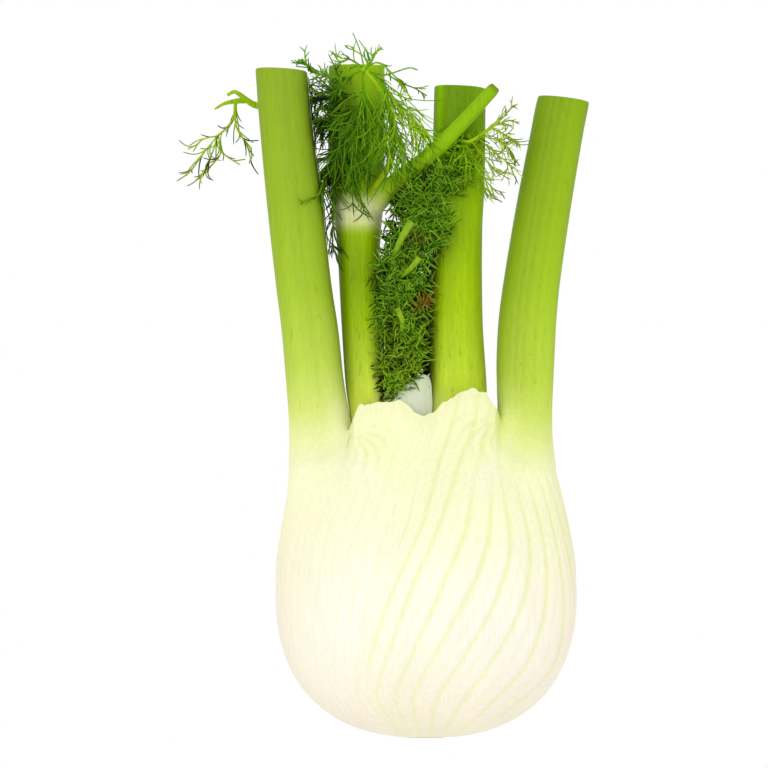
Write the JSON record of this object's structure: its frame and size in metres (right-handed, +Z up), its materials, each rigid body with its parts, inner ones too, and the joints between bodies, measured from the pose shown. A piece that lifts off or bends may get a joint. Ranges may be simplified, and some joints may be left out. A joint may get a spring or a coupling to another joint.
{
  "type": "fennel bulb",
  "caption": "Raw fennel bulb lying on its back, with overlapping fleshy leaf bases, cut green stalks and feathery fronds.",
  "frame": {"origin": "middle of the small flat spot that the belly of the bulb rests on", "axes": "+Y from the root to the stalk tips, +Z up from the surface it lies on, +X to the right seen from above with the stalks pointing away"},
  "size_m": [0.1367, 0.2335, 0.0662],
  "materials": {
    "outer_leaf": "moist satin leaf skin, creamy white running into green stalks",
    "inner_leaf": "moist satin green stalk skin, pale inside the bulb",
    "heart_leaf": "thin greyish white sheath, satin",
    "root_plate": "dry cut face, matt",
    "frond": "fine green leaf threads, satin"
  },
  "bodies": {
    "root": {"root_plate": "root_plate", "right_outer_leaf": "outer_leaf", "left_outer_leaf": "outer_leaf", "left_inner_leaf": "inner_leaf", "right_inner_leaf": "inner_leaf", "heart_leaf": "heart_leaf", "large_frond": "frond", "right_frond": "frond", "young_frond": "frond", "small_frond": "frond"}
  },
  "joints": []
}
